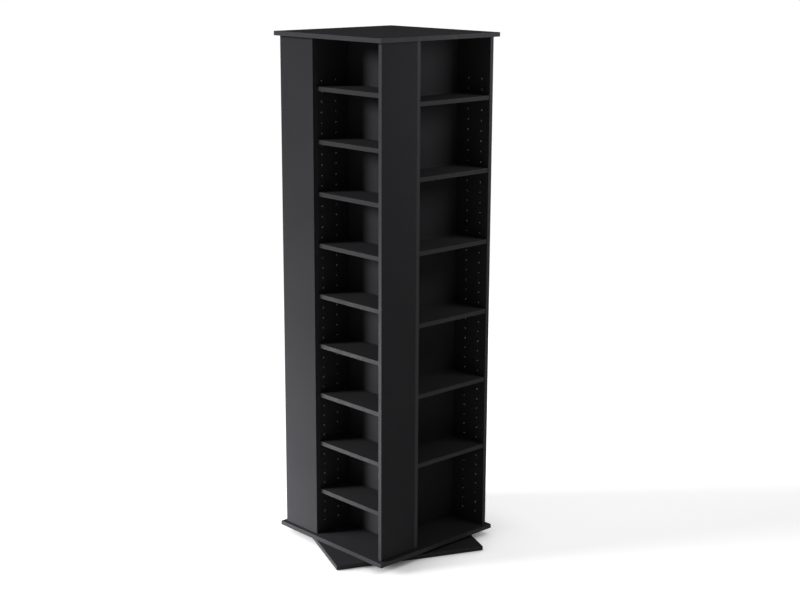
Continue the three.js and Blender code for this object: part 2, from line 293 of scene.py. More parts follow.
@dataclass(frozen=True)
class PlatedSteel:
    """Steel, rolled, turned or polished, and mostly plated: bright metal with faint lines and dull patches.

    The lines run along Y, as they do on a sheet that was rolled that way.
    """

    name: str
    bright: str
    dull: str
    smoothest: float
    roughest: float
    patch_size: float = 9 * MM
    line_size: float = 0.9 * MM
    line_squeeze: float = 0.06
    line_depth: float = 0.008 * MM

    def build(self) -> Material:
        """Makes the material.

        Returns:
            The material.
        """
        material, add = new_material(self.name)
        place = add("ShaderNodeTexCoord").outputs["Object"]
        grain = {"Scale": 1 / self.patch_size, "Detail": 5.0, "Roughness": 0.6}
        patches = add("ShaderNodeTexNoise", {"Vector": place, **grain})
        squeezed = add("ShaderNodeMapping", {"Vector": place, "Scale": (1.0, self.line_squeeze, 1.0)})
        rolling = add("ShaderNodeTexNoise", {"Vector": squeezed, "Scale": 1 / self.line_size, "Detail": 2.0})
        tones = {0: patches, 6: linear(self.bright), 7: linear(self.dull)}
        colour = add("ShaderNodeMix", tones, data_type="RGBA").outputs[2]
        span = {"From Min": 0.3, "From Max": 0.7, "To Min": self.smoothest, "To Max": self.roughest}
        roughness = add("ShaderNodeMapRange", {"Value": patches, **span})
        bump = add("ShaderNodeBump", {"Height": rolling, "Strength": 0.4, "Distance": self.line_depth})
        look = {"Base Color": colour, "Roughness": roughness, "Normal": bump}
        shader = add("ShaderNodeBsdfPrincipled", {**look, "Metallic": 1.0})
        add("ShaderNodeOutputMaterial", {"Surface": shader})
        return material


@dataclass(frozen=True)
class GlidePlastic:
    """Moulded high-density polyethylene: a waxy dark grey, scuffed dull where it slides on a floor."""

    name: str = "hdpe_moulded"
    fresh: str = "#2c2c2e"
    scuffed: str = "#555558"
    fresh_roughness: float = 0.55
    scuffed_roughness: float = 0.8
    scuff_size: float = 4 * MM
    scuff_depth: float = 0.05 * MM

    def build(self) -> Material:
        """Makes the material.

        Returns:
            The material.
        """
        material, add = new_material(self.name)
        place = add("ShaderNodeTexCoord").outputs["Object"]
        grain = {"Scale": 1 / self.scuff_size, "Detail": 6.0, "Roughness": 0.7}
        scuffs = add("ShaderNodeTexNoise", {"Vector": place, **grain})
        amount = add("ShaderNodeMapRange", {"Value": scuffs, "From Min": 0.5, "From Max": 0.7})
        tones = {0: amount, 6: linear(self.fresh), 7: linear(self.scuffed)}
        colour = add("ShaderNodeMix", tones, data_type="RGBA").outputs[2]
        span = {"To Min": self.fresh_roughness, "To Max": self.scuffed_roughness}
        roughness = add("ShaderNodeMapRange", {"Value": amount, **span})
        bump = add("ShaderNodeBump", {"Height": scuffs, "Strength": 0.3, "Distance": self.scuff_depth})
        look = {"Base Color": colour, "Roughness": roughness, "Normal": bump}
        shader = add("ShaderNodeBsdfPrincipled", look)
        add("ShaderNodeOutputMaterial", {"Surface": shader})
        return material


def spokes_at(angles: np.ndarray) -> np.ndarray:
    """Gives the unit vector at each angle: its cosine and its sine."""
    return np.stack([np.cos(angles), np.sin(angles)], -1)


def turning(angle: float) -> np.ndarray:
    """Gives the matrix that turns rows of points anticlockwise round the upright axis, by radians."""
    cosine, sine = math.cos(angle), math.sin(angle)
    return np.array([[cosine, sine, 0], [-sine, cosine, 0], [0, 0, 1]])


@dataclass
class Patch:
    """A stretch of surface.

    Attributes:
        points: Its points.
        faces: Its faces, as numbers of points.
        normals: The way that each corner of each face looks.
        rim: How rounded the surface is at each point, from 0 on a flat to 1 on an edge.
        finish: What covers each face, as the number of a material.
    """

    points: np.ndarray
    faces: np.ndarray
    normals: np.ndarray
    rim: np.ndarray
    finish: np.ndarray

    @classmethod
    def plain(cls, points: np.ndarray, faces: np.ndarray, normals: np.ndarray, finish: int = 0) -> "Patch":
        """Makes a patch of one finish and no rounded edge."""
        return cls(points, faces, normals, np.zeros(len(points)), np.full(len(faces), finish))

    def turned(self, angle: float) -> "Patch":
        """Turns the patch anticlockwise round the upright axis, by radians, and returns the new one."""
        turn = turning(angle)
        return replace(self, points=self.points @ turn, normals=self.normals @ turn)

    def moved(self, way: Sequence[float]) -> "Patch":
        """Moves the patch along a vector and returns the new one."""
        return replace(self, points=self.points + np.array(way))

    def upended(self) -> "Patch":
        """Turns the patch half round the X axis and returns the new one."""
        turn = np.array([1.0, -1.0, -1.0])
        return replace(self, points=self.points * turn, normals=self.normals * turn)


def put_in_scene(data: Mesh | Light | Camera) -> Object:
    """Makes an object and links it to the scene.

    Args:
        data: Its mesh, lamp or camera, which gives it its name.

    Returns:
        The object, at the origin.
    """
    made = bpy.data.objects.new(data.name, data)
    bpy.context.scene.collection.objects.link(made)
    return made


def piece_from(name: str, patches: Sequence[Patch], finishes: Sequence[Material]) -> Object:
    """Joins patches into one closed mesh, merging the points that they share.

    Args:
        name: The piece's name.
        patches: The stretches of its surface.
        finishes: The materials that the patches' finish numbers pick.

    Returns:
        The new object, at the origin.
    """
    offsets = np.cumsum([0] + [len(patch.points) for patch in patches[:-1]])
    points = np.concatenate([patch.points for patch in patches])
    rim = np.concatenate([patch.rim for patch in patches])
    keys = np.round(points / SAME_PLACE).astype(np.int64)
    _, first, merged = np.unique(keys, axis=0, return_index=True, return_inverse=True)
    merged = merged.reshape(-1)
    corners = np.concatenate(
        [merged[patch.faces + offset].ravel() for patch, offset in zip(patches, offsets)]
    )
    sizes = np.concatenate([np.full(len(patch.faces), patch.faces.shape[1]) for patch in patches])
    mesh = bpy.data.meshes.new(name)
    mesh.vertices.add(len(first))
    mesh.vertices.foreach_set("co", points[first].ravel())
    mesh.loops.add(len(corners))
    mesh.loops.foreach_set("vertex_index", corners)
    mesh.polygons.add(len(sizes))
    mesh.polygons.foreach_set("loop_start", np.cumsum(sizes) - sizes)
    mesh.polygons.foreach_set("material_index", np.concatenate([patch.finish for patch in patches]))
    mesh.polygons.foreach_set("use_smooth", np.ones(len(sizes), bool))
    mesh.update(calc_edges=True)
    mesh.normals_split_custom_set(np.concatenate([patch.normals.reshape(-1, 3) for patch in patches]))
    mesh.attributes.new("rim", "FLOAT", "POINT").data.foreach_set("value", rim[first])
    for finish in finishes:
        mesh.materials.append(finish)
    return put_in_scene(mesh)


@dataclass
class Drilling:
    """Round holes in one side of a board.

    Attributes:
        axis: The side's axis, 0 to 2.
        sign: 1 for the side that looks along the axis, -1 for the one that looks against it.
        centres: One row for each hole, its place along the next two axes in turn.
        radius: Of the holes.
        depth: From the side to the hole's rim at the bottom.
        cell: Half the side of the square of surface that a hole's rim is joined to.
        through: Whether the holes come out on the far side.
    """

    axis: int
    sign: int
    centres: np.ndarray
    radius: float
    depth: float
    cell: float
    through: bool = False

    STEPS = 12
    TIP = 1.2 * MM
    DECIMALS = 7

    @property
    def circle(self) -> np.ndarray:
        """The unit vectors to a hole's rim, anticlockwise from the one against the first axis."""
        return spokes_at(math.pi + np.arange(self.STEPS) * 2 * math.pi / self.STEPS)

    def cuts(self, axis: int) -> np.ndarray:
        """Finds the grid lines that the holes' squares need.

        Args:
            axis: The axis that the lines are places on.

        Returns:
            Their places.
        """
        if axis == self.axis:
            return np.empty(0)
        column = 0 if axis == (self.axis + 1) % 3 else 1
        places = np.unique(np.round(self.centres[:, column], self.DECIMALS))
        return np.concatenate([places - self.cell, places + self.cell])

    def covers(self, axis: int, sign: int, first: np.ndarray, second: np.ndarray) -> np.ndarray:
        """Tells which squares of a side's grid the holes take.

        Args:
            axis: The side's axis.
            sign: The side's direction.
            first: Middle of each square along the next axis.
            second: Middle of each square along the one after.

        Returns:
            True where a square belongs to a hole.
        """
        if axis != self.axis or (sign != self.sign and not self.through):
            return np.zeros((len(first), len(second)), bool)
        near_first = np.abs(first[:, None] - self.centres[:, 0]) < self.cell
        near_second = np.abs(second[:, None] - self.centres[:, 1]) < self.cell
        return (near_first[:, None] & near_second[None]).any(-1)

    def lifted(self, flat: np.ndarray, level: float) -> np.ndarray:
        """Places points of the side's own plane in space.

        Args:
            flat: Places along the next two axes, in the last dimension.
            level: Their place along the side's axis.

        Returns:
            The points.
        """
        points = np.empty((*flat.shape[:-1], 3))
        points[..., self.axis] = level
        points[..., (self.axis + 1) % 3] = flat[..., 0]
        points[..., (self.axis + 2) % 3] = flat[..., 1]
        return points

    def repeated(self, points: np.ndarray, faces: np.ndarray, looks: np.ndarray | None, sign: int) -> Patch:
        """Repeats one hole's faces for every hole.

        Args:
            points: A row of points for each hole.
            faces: One hole's faces, as numbers of its points, for a side that looks along its axis.
            looks: The way that the faces' corners look, or None where they look as the side does.
            sign: The way that the side looks.

        Returns:
            The patch, of raw board.
        """
        holes, count = points.shape[:2]
        outward = sign * np.eye(3)[self.axis]
        looks = np.broadcast_to(outward if looks is None else looks, (*faces.shape, 3))
        if sign < 0:
            faces, looks = faces[:, ::-1], looks[:, ::-1]
        all_faces = (faces + np.arange(holes)[:, None, None] * count).reshape(-1, faces.shape[1])
        return Patch.plain(points.reshape(-1, 3), all_faces, np.tile(looks, (holes, 1, 1)), int(RAW))

    def rim_patch(self, level: float, sign: int, finish: int) -> Patch:
        """Joins each hole's round rim to the corners of its square.

        Three triangles fan out from each corner to a quarter of the rim, and one more fills the gap
        between two corners.

        Args:
            level: Place of the side along its axis.
            sign: The way the side looks.
            finish: What covers it.

        Returns:
            The patch.
        """
        square = np.array([[-1, -1], [1, -1], [1, 1], [-1, 1]]) * self.cell
        flat = self.centres[:, None] + np.concatenate([square, self.circle * self.radius])
        corners, quarter = len(square), self.STEPS // len(square)
        step, here = np.arange(self.STEPS), np.arange(corners)
        ahead = (step + 1) % self.STEPS
        fans = np.stack([np.repeat(here, quarter), corners + ahead, corners + step], -1)
        seam = corners + ((here + 1) * quarter) % self.STEPS
        bridges = np.stack([here, (here + 1) % corners, seam], -1)
        patch = self.repeated(self.lifted(flat, level), np.concatenate([fans, bridges]), None, sign)
        return replace(patch, finish=np.full(len(patch.faces), finish))

    def bores(self, level: float) -> list[Patch]:
        """Makes the walls of the holes, and their drilled bottoms where they are blind.

        A wall is the rim carried straight into the board. A bottom is a shallow cone to the drill's tip.

        Args:
            level: Place of the side along its axis.

        Returns:
            One patch for the walls, and one for the bottoms if there are any.
        """
        bottom = level - self.sign * self.depth
        flat = self.centres[:, None] + self.circle * self.radius
        mouth, floor = self.lifted(flat, level), self.lifted(flat, bottom)
        step = np.arange(self.STEPS)
        ahead = (step + 1) % self.STEPS
        wall = np.stack([step, ahead, ahead + self.STEPS, step + self.STEPS], -1)
        inward = self.lifted(-self.circle, 0.0)
        looks = inward[np.stack([step, ahead, ahead, step], -1)]
        made = [self.repeated(np.concatenate([mouth, floor], 1), wall, looks, self.sign)]
        if not self.through:
            tips = self.lifted(self.centres[:, None], bottom - self.sign * self.TIP)
            fan = np.stack([step, ahead, np.full(self.STEPS, self.STEPS)], -1)
            made.append(self.repeated(np.concatenate([floor, tips], 1), fan, None, self.sign))
        return made


@dataclass
class Slab:
    """A board with rounded edges.

    Attributes:
        low: Its lowest corner.
        high: Its highest corner.
        covers: What covers each of its sides, by axis and then low side and high side.
        drillings: Its holes.
    """

    low: np.ndarray
    high: np.ndarray
    covers: tuple[tuple[BoardFinish, BoardFinish], ...]
    drillings: list[Drilling] = field(default_factory=list)

    EDGE_RADIUS = 0.8 * MM
    ARC_STEPS = 3

    def end(self, axis: int, sign: int) -> tuple[float, int]:
        """Returns a side's place along its axis, and the number of what covers it."""
        return (self.high if sign > 0 else self.low)[axis], int(self.covers[axis][sign > 0])

    def lines(self, axis: int) -> np.ndarray:
        """Sets out the grid lines of the board along an axis.

        The lines on the rounded edges are the tangents of equal angles up to 45 degrees, so that the
        arcs come out in equal steps.

        Args:
            axis: The axis that the lines are places on.

        Returns:
            Their places, from low to high.
        """
        arc = self.EDGE_RADIUS * np.tan(np.linspace(math.pi / 4, 0, self.ARC_STEPS + 1))
        start = self.low[axis] + self.EDGE_RADIUS
        end = self.high[axis] - self.EDGE_RADIUS
        cuts = [drilling.cuts(axis) for drilling in self.drillings]
        middle = np.concatenate([*cuts, np.empty(0)])
        middle = np.sort(middle[(middle > start) & (middle < end)])
        return np.concatenate([start - arc, middle, end + arc[::-1]])

    def side(self, axis: int, sign: int, lines: list[np.ndarray]) -> Patch:
        """Makes one side of the board as a grid of two parameters.

        A point of the plain block is drawn in to the block that is smaller by the edge radius on every
        side, and then set out from there by the radius, in the direction that it was drawn in from. Its
        rim value is the sine of how far it looks away from the side's axis, over that of 45 degrees.

        Args:
            axis: The side's axis.
            sign: The way it looks.
            lines: Grid lines along each axis.

        Returns:
            The patch, without the squares that holes take.
        """
        first, second = (axis + 1) % 3, (axis + 2) % 3
        across, along = lines[first], lines[second]
        level, cover = self.end(axis, sign)
        core_low, core_high = self.low + self.EDGE_RADIUS, self.high - self.EDGE_RADIUS
        block = np.empty((len(across), len(along), 3))
        block[..., first] = across[:, None]
        block[..., second] = along
        block[..., axis] = level
        core = np.clip(block, core_low, core_high)
        away = block - core
        outward = away / np.linalg.norm(away, axis=-1, keepdims=True)
        points = core + self.EDGE_RADIUS * outward
        rim = np.clip(np.sqrt(np.maximum(0, 1 - outward[..., axis] ** 2)) * math.sqrt(2), 0, 1)
        index = np.arange(rim.size).reshape(rim.shape)
        squares = np.stack([index[:-1, :-1], index[1:, :-1], index[1:, 1:], index[:-1, 1:]], -1)
        middles = [(line[1:] + line[:-1]) / 2 for line in (across, along)]
        kept = np.ones(squares.shape[:2], bool)
        for drilling in self.drillings:
            kept &= ~drilling.covers(axis, sign, *middles)
        finish = np.full(squares.shape[:2], cover)
        for other, middle, shape in zip((first, second), middles, ((-1, 1), (1, -1))):
            below = (middle < core_low[other]).reshape(shape)
            above = (middle > core_high[other]).reshape(shape)
            finish = np.where(below, np.maximum(finish, self.covers[other][0]), finish)
            finish = np.where(above, np.maximum(finish, self.covers[other][1]), finish)
        faces = squares[kept][:, ::sign]
        return Patch(points.reshape(-1, 3), faces, outward.reshape(-1, 3)[faces], rim.ravel(), finish[kept])

    def patches(self) -> list[Patch]:
        """Makes the whole surface of the board, holes included.

        Returns:
            One patch for each side, rim and set of bores.
        """
        lines = [self.lines(axis) for axis in range(3)]
        made = [self.side(axis, sign, lines) for axis in range(3) for sign in (-1, 1)]
        for drilling in self.drillings:
            axis, sign = drilling.axis, drilling.sign
            level, cover = self.end(axis, sign)
            made += [drilling.rim_patch(level, sign, cover), *drilling.bores(level)]
            if drilling.through:
                level, cover = self.end(axis, -sign)
                made.append(drilling.rim_patch(level, -sign, cover))
        return made


def is_pole(row: np.ndarray) -> bool:
    """Tells whether a row of points is one point."""
    return bool(np.ptp(row, axis=0).max() < SAME_PLACE)


def wrap(points: np.ndarray, looks: np.ndarray) -> list[Patch]:
    """Makes the faces of a grid that closes on itself along its second parameter.

    Four neighbours of the grid make a face. Where a first or last row is one point, its faces are
    triangles.

    Args:
        points: Rows of points round the closed parameter. They run up on an outer side.
        looks: The way that the surface looks at each point.

    Returns:
        The faces.
    """
    rows, steps = points.shape[:2]
    index = np.arange(rows * steps).reshape(rows, steps)
    ahead = np.roll(index, -1, axis=1)
    squares = np.stack([index[:-1], ahead[:-1], ahead[1:], index[1:]], -1)
    starts_in_pole, ends_in_pole = is_pole(points[0]), is_pole(points[-1])
    parts = [(squares[starts_in_pole : rows - 1 - ends_in_pole], [0, 1, 2, 3])]
    if starts_in_pole:
        parts.append((squares[:1], [0, 2, 3]))
    if ends_in_pole:
        parts.append((squares[-1:], [0, 1, 2]))
    flat_points, flat_looks = points.reshape(-1, 3), looks.reshape(-1, 3)
    shaped = [square[..., kept].reshape(-1, len(kept)) for square, kept in parts]
    return [Patch.plain(flat_points, faces, flat_looks[faces]) for faces in shaped]


def smooth_looks(points: np.ndarray) -> np.ndarray:
    """Finds how a closed grid looks everywhere: the cross product of its slopes along both parameters.

    Args:
        points: Rows of points round the closed parameter.

    Returns:
        Unit vectors. A row that is one point takes the mean of its neighbours.
    """
    round_slope = np.roll(points, -1, axis=1) - np.roll(points, 1, axis=1)
    looks = np.cross(round_slope, np.gradient(points, axis=0))
    for pole, neighbour in ((0, 1), (-1, -2)):
        if is_pole(points[pole]):
            looks[pole] = looks[neighbour].sum(0)
    return looks / np.linalg.norm(looks, axis=-1, keepdims=True)


@dataclass(frozen=True)
class Circuit:
    """The way round that a profile is carried.

    Attributes:
        spokes: Unit vectors from the axis, anticlockwise.
        reach: How far the outline lies along each spoke.
        looks: The way that the outline looks there.
    """

    spokes: np.ndarray
    reach: np.ndarray
    looks: np.ndarray

    @classmethod
    def circle(cls, steps: int) -> "Circuit":
        """Makes a plain circle of equal steps."""
        spokes = spokes_at(np.arange(steps) * 2 * math.pi / steps)
        return cls(spokes, np.ones(steps), spokes)

    @classmethod
    def rounded_square(cls, half: float, corner: float, side_steps: int, corner_steps: int) -> "Circuit":
        """Makes a square with rounded corners.

        A side's points lie where equal angles from the middle meet it, and a corner's are those of its
        own quarter circle. One side and corner are turned by each quarter turn to make the rest.

        Args:
            half: Half of its side.
            corner: Radius of its corners.
            side_steps: Steps along each side.
            corner_steps: Steps round each corner.

        Returns:
            The way round.
        """
        straight = half - corner
        reach = math.atan2(straight, half)
        side_angles = np.linspace(-reach, reach, side_steps + 1)
        side = np.stack([np.full(side_steps + 1, half), half * np.tan(side_angles)], -1)
        side_looks = np.tile([1.0, 0.0], (side_steps + 1, 1))
        corner_looks = spokes_at(np.linspace(0, math.pi / 2, corner_steps + 1)[1:-1])
        quarter = np.concatenate([side, straight + corner * corner_looks])
        quarter_looks = np.concatenate([side_looks, corner_looks])
        turns = [turning(count * math.pi / 2).round()[:2, :2] for count in range(4)]
        outline = np.concatenate([quarter @ turn for turn in turns])
        looks = np.concatenate([quarter_looks @ turn for turn in turns])
        distance = np.linalg.norm(outline, axis=-1)
        return cls(outline / distance[:, None], distance, looks)


@dataclass
class Profile:
    """A profile of radius and height, drawn like a pen line with the material on its left.

    Attributes:
        at: Where the pen is.
        on_outline: Whether that place follows the circuit's outline, whatever its radius.
        runs: The smooth stretches drawn so far: places, looks and shares of the outline.
    """

    at: tuple[float, float]
    on_outline: bool = False
    runs: list[tuple[np.ndarray, np.ndarray, np.ndarray]] = field(default_factory=list)

    def line(self, radius: float, height: float, on_outline: bool = False) -> "Profile":
        """Draws a straight stretch.

        Args:
            radius: Of its end.
            height: Of its end.
            on_outline: Whether its end follows the outline.

        Returns:
            The profile itself.
        """
        rise, run = height - self.at[1], radius - self.at[0]
        look = np.array([rise, -run]) / math.hypot(rise, run)
        shares = np.array([float(self.on_outline), float(on_outline)])
        self.runs.append((np.array([self.at, (radius, height)]), np.tile(look, (2, 1)), shares))
        self.at, self.on_outline = (radius, height), on_outline
        return self

    def bend(self, radius: float, start: float, end: float, steps: int = 4) -> "Profile":
        """Draws an arc: the centre plus the radius times cosine and sine.

        Args:
            radius: Of the arc.
            start: Degrees that it starts at, anticlockwise from straight out.
            end: Degrees that it ends at. Less than the start makes it hollow.
            steps: Straight steps that it is drawn in.

        Returns:
            The profile itself.
        """
        spokes = spokes_at(np.radians(np.linspace(start, end, steps + 1)))
        places = np.array(self.at) + radius * (spokes - spokes[0])
        self.runs.append((places, spokes * math.copysign(1, end - start), np.zeros(steps + 1)))
        self.at = tuple(places[-1].tolist())
        return self

    def swept(self, circuit: Circuit, centre: Sequence[float] = (0, 0, 0), axis: int = 2) -> list[Patch]:
        """Carries the profile round: radius times spoke across the axis, and height along it.

        Args:
            circuit: The way round.
            centre: Where the profile's height zero lies on the axis.
            axis: 0 to 2.

        Returns:
            The surface.
        """
        made = []
        for places, looks, shares in self.runs:
            share = shares[:, None]
            radii = places[:, :1] * (1 - share) + circuit.reach * share
            sideways = circuit.spokes * (1 - share[..., None]) + circuit.looks * share[..., None]
            points, normals = np.empty((*radii.shape, 3)), np.empty((*radii.shape, 3))
            points[..., axis], normals[..., axis] = places[:, 1:], looks[:, 1:]
            for column in (0, 1):
                points[..., (axis + 1 + column) % 3] = radii * circuit.spokes[:, column]
                normals[..., (axis + 1 + column) % 3] = looks[:, :1] * sideways[..., column]
            made.extend(wrap(points + np.array(centre), normals))
        return made


def fit_piece(
    name: str, node: str, patches: Sequence[Patch], finishes: Sequence[Material], body: str
) -> None:
    """Makes a piece, hangs it on the frame and reports it.

    Args:
        name: The piece's name.
        node: The node that it stands for.
        patches: Its surface.
        finishes: The materials that the patches' finish numbers pick.
        body: The body that it rides on.
    """
    piece = piece_from(name, patches, finishes)
    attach(piece, body)
    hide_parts(node)
    log.info("%s stands for %s in %s", name, node, finishes[-1].name)


def box_of(node: str, quarter_turns: int = 0) -> tuple[np.ndarray, np.ndarray]:
    """Finds a node's lowest and highest corners in a frame turned clockwise from the tower's."""
    turned_back = np.array(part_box(node)) @ turning(quarter_turns * math.pi / 2).round()
    return turned_back.min(0), turned_back.max(0)


@dataclass
class Workshop:
    """The materials that the sub-assemblies share."""

    raw: Material
    laminate: Material
    band: Material
    # A darker copy of the band: painted shade on the recessed shelf fronts.
    shelf_band_painted_shade: Material
    zinc: Material
    nickel: Material
    ball_steel: Material
    plastic: Material

    @property
    def board(self) -> list[Material]:
        """The materials of a wall or plate, in the order of BoardFinish."""
        return [self.raw, self.laminate, self.band]

    @property
    def shelf(self) -> list[Material]:
        """The materials of a shelf, whose band is darker as painted shade of the recessed fronts, in the
        same order.
        """
        return [self.raw, self.laminate, self.shelf_band_painted_shade]


@dataclass
class Bay:
    """One open bay: its two uprights, its shelves and the pins that carry them.

    Attributes:
        side: The side of the tower that it opens to.
        panel: The face of the tower that its side panel closes.
        shelf_count: How many shelves it has.
        workshop: The materials.
    """

    side: Side
    panel: Side
    shelf_count: int
    workshop: Workshop

    HOLE_RADIUS = 2.6 * MM
    HOLE_DEPTH = 9 * MM
    HOLE_CELL = 5 * MM
    FIRST_SEAT = 1
    LAST_SEAT = 45
    PEG_CHAMFER = 0.4 * MM
    PEG_STEPS = 16

    def fit(self, name: str, patches: list[Patch], node: str, slot: str) -> None:
        """Turns the patches to the bay's place, and hangs the piece on the tower.

        Args:
            name: The piece's name.
            patches: Its surface in the bay's frame.
            node: The node that it stands for.
            slot: The record's finish that it takes.
        """
        turned = [patch.turned(-self.side.value * math.pi / 2) for patch in patches]
        finishes = {
            "laminate": self.workshop.board,
            "shelf_laminate": self.workshop.shelf,
            "zinc_steel": [self.workshop.nickel],
        }[slot]
        fit_piece(name, node, turned, finishes, "tower")

    def pin_holes(self, sign: int, floor_height: float) -> Drilling:
        """Sets out the two columns of pin holes that open to one side of an upright.

        Args:
            sign: The side of the board that they open to.
            floor_height: Of the bottom plate's upper face.

        Returns:
            The holes.
        """
        seats = np.arange(self.FIRST_SEAT, self.LAST_SEAT + 1)
        heights = floor_height + FIRST_PIN_HEIGHT + seats * SEAT_PITCH
        columns = np.array(PIN_ROWS) - BODY_HALF
        centres = np.stack(np.meshgrid(columns, heights, indexing="ij"), -1).reshape(-1, 2)
        return Drilling(0, sign, centres, self.HOLE_RADIUS, self.HOLE_DEPTH, self.HOLE_CELL)

    def build_upright(self, node: str, opens_to: int, inner_edge: BoardFinish) -> None:
        """Makes an upright board from plate to plate.

        Args:
            node: The node that it stands for.
            opens_to: 1 if its pin holes look along the bay's X axis, -1 if against it.
            inner_edge: What covers its edge inside the tower.
        """
        low, high = box_of(node, self.side.value)
        floor_height = box_of("bottom_plate")[1][2]
        low[2] = floor_height + JOINT_GAP
        high[2] = box_of("top_plate")[0][2] - JOINT_GAP
        covers = ((LAMINATE, LAMINATE), (BAND, inner_edge), (RAW, RAW))
        slab = Slab(low, high, covers, [self.pin_holes(opens_to, floor_height)])
        self.fit(f"{node}_board", slab.patches(), node, "laminate")

    def build_shelf(self, number: int) -> None:
        """Makes a shelf and its four pins.

        Args:
            number: The shelf's number from the bottom, from 1.
        """
        node = f"shelf_{self.side.label}_{number}"
        low, high = box_of(node, self.side.value)
        pin_start, pin_end = low[0], high[0]
        overlap = PEG_INSERT + SHELF_SIDE_GAP
        board_low = np.array([pin_start + overlap, low[1], high[2] - BOARD])
        board_high = np.array([pin_end - overlap, high[1], high[2]])
        slab = Slab(board_low, board_high, ((RAW, RAW), (BAND, RAW), (LAMINATE, LAMINATE)))
        self.fit(f"{node}_board", slab.patches(), node, "shelf_laminate")
        length = overlap + PEG_REACH
        profile = (
            Profile((0.0, 0.0))
            .line(PEG_RADIUS - self.PEG_CHAMFER, 0.0)
            .line(PEG_RADIUS, self.PEG_CHAMFER)
            .line(PEG_RADIUS, length - self.PEG_CHAMFER)
            .line(PEG_RADIUS - self.PEG_CHAMFER, length)
            .line(0.0, length)
        )
        height = board_low[2] - PEG_DROP
        circle = Circuit.circle(self.PEG_STEPS)
        pegs = [
            patch
            for row in PIN_ROWS
            for start in (pin_start, pin_end - length)
            for patch in profile.swept(circle, (start, row - BODY_HALF, height), 0)
        ]
        self.fit(f"{node}_pins", pegs, node, "zinc_steel")

    def build(self) -> None:
        """Makes everything in the bay."""
        self.build_upright(f"divider_{self.side.label}", 1, RAW)
        self.build_upright(f"side_panel_{self.panel.label}", -1, BAND)
        for number in range(1, self.shelf_count + 1):
            self.build_shelf(number)


@dataclass
class Plates:
    """The three square boards: top and bottom of the tower, and the base that it turns on."""

    workshop: Workshop

    ACCESS_RADIUS = 10 * MM
    ACCESS_CELL = 14 * MM
    SCREW_CIRCLE_RADIUS = 143.3 * MM

    def build_plate(self, node: str, body: str, turn: float, drillings: list[Drilling]) -> None:
        """Makes one square board.

        Args:
            node: The node that it stands for.
            body: The body that it rides on.
            turn: Radians that it is turned by, round the turning axis.
            drillings: Its holes, in its own unturned frame.
        """
        low, high = box_of(node)
        half = (high[0] - low[0]) / 2 / (abs(math.cos(turn)) + abs(math.sin(turn)))
        corners = np.array([-half, -half, low[2]]), np.array([half, half, high[2]])
        slab = Slab(*corners, ((BAND, BAND), (BAND, BAND), (LAMINATE, LAMINATE)), drillings)
        turned = [patch.turned(turn) for patch in slab.patches()]
        fit_piece(f"{node}_board", node, turned, self.workshop.board, body)

    def build(self) -> None:
        """Makes the three boards."""
        self.build_plate("top_plate", "tower", 0.0, [])
        self.build_plate("bottom_plate", "tower", 0.0, [])
        place = np.array([[self.SCREW_CIRCLE_RADIUS, 0.0]])
        access = Drilling(2, 1, place, self.ACCESS_RADIUS, BOARD, self.ACCESS_CELL, through=True)
        self.build_plate("base_plate", "stand", BASE_TURN, [access])


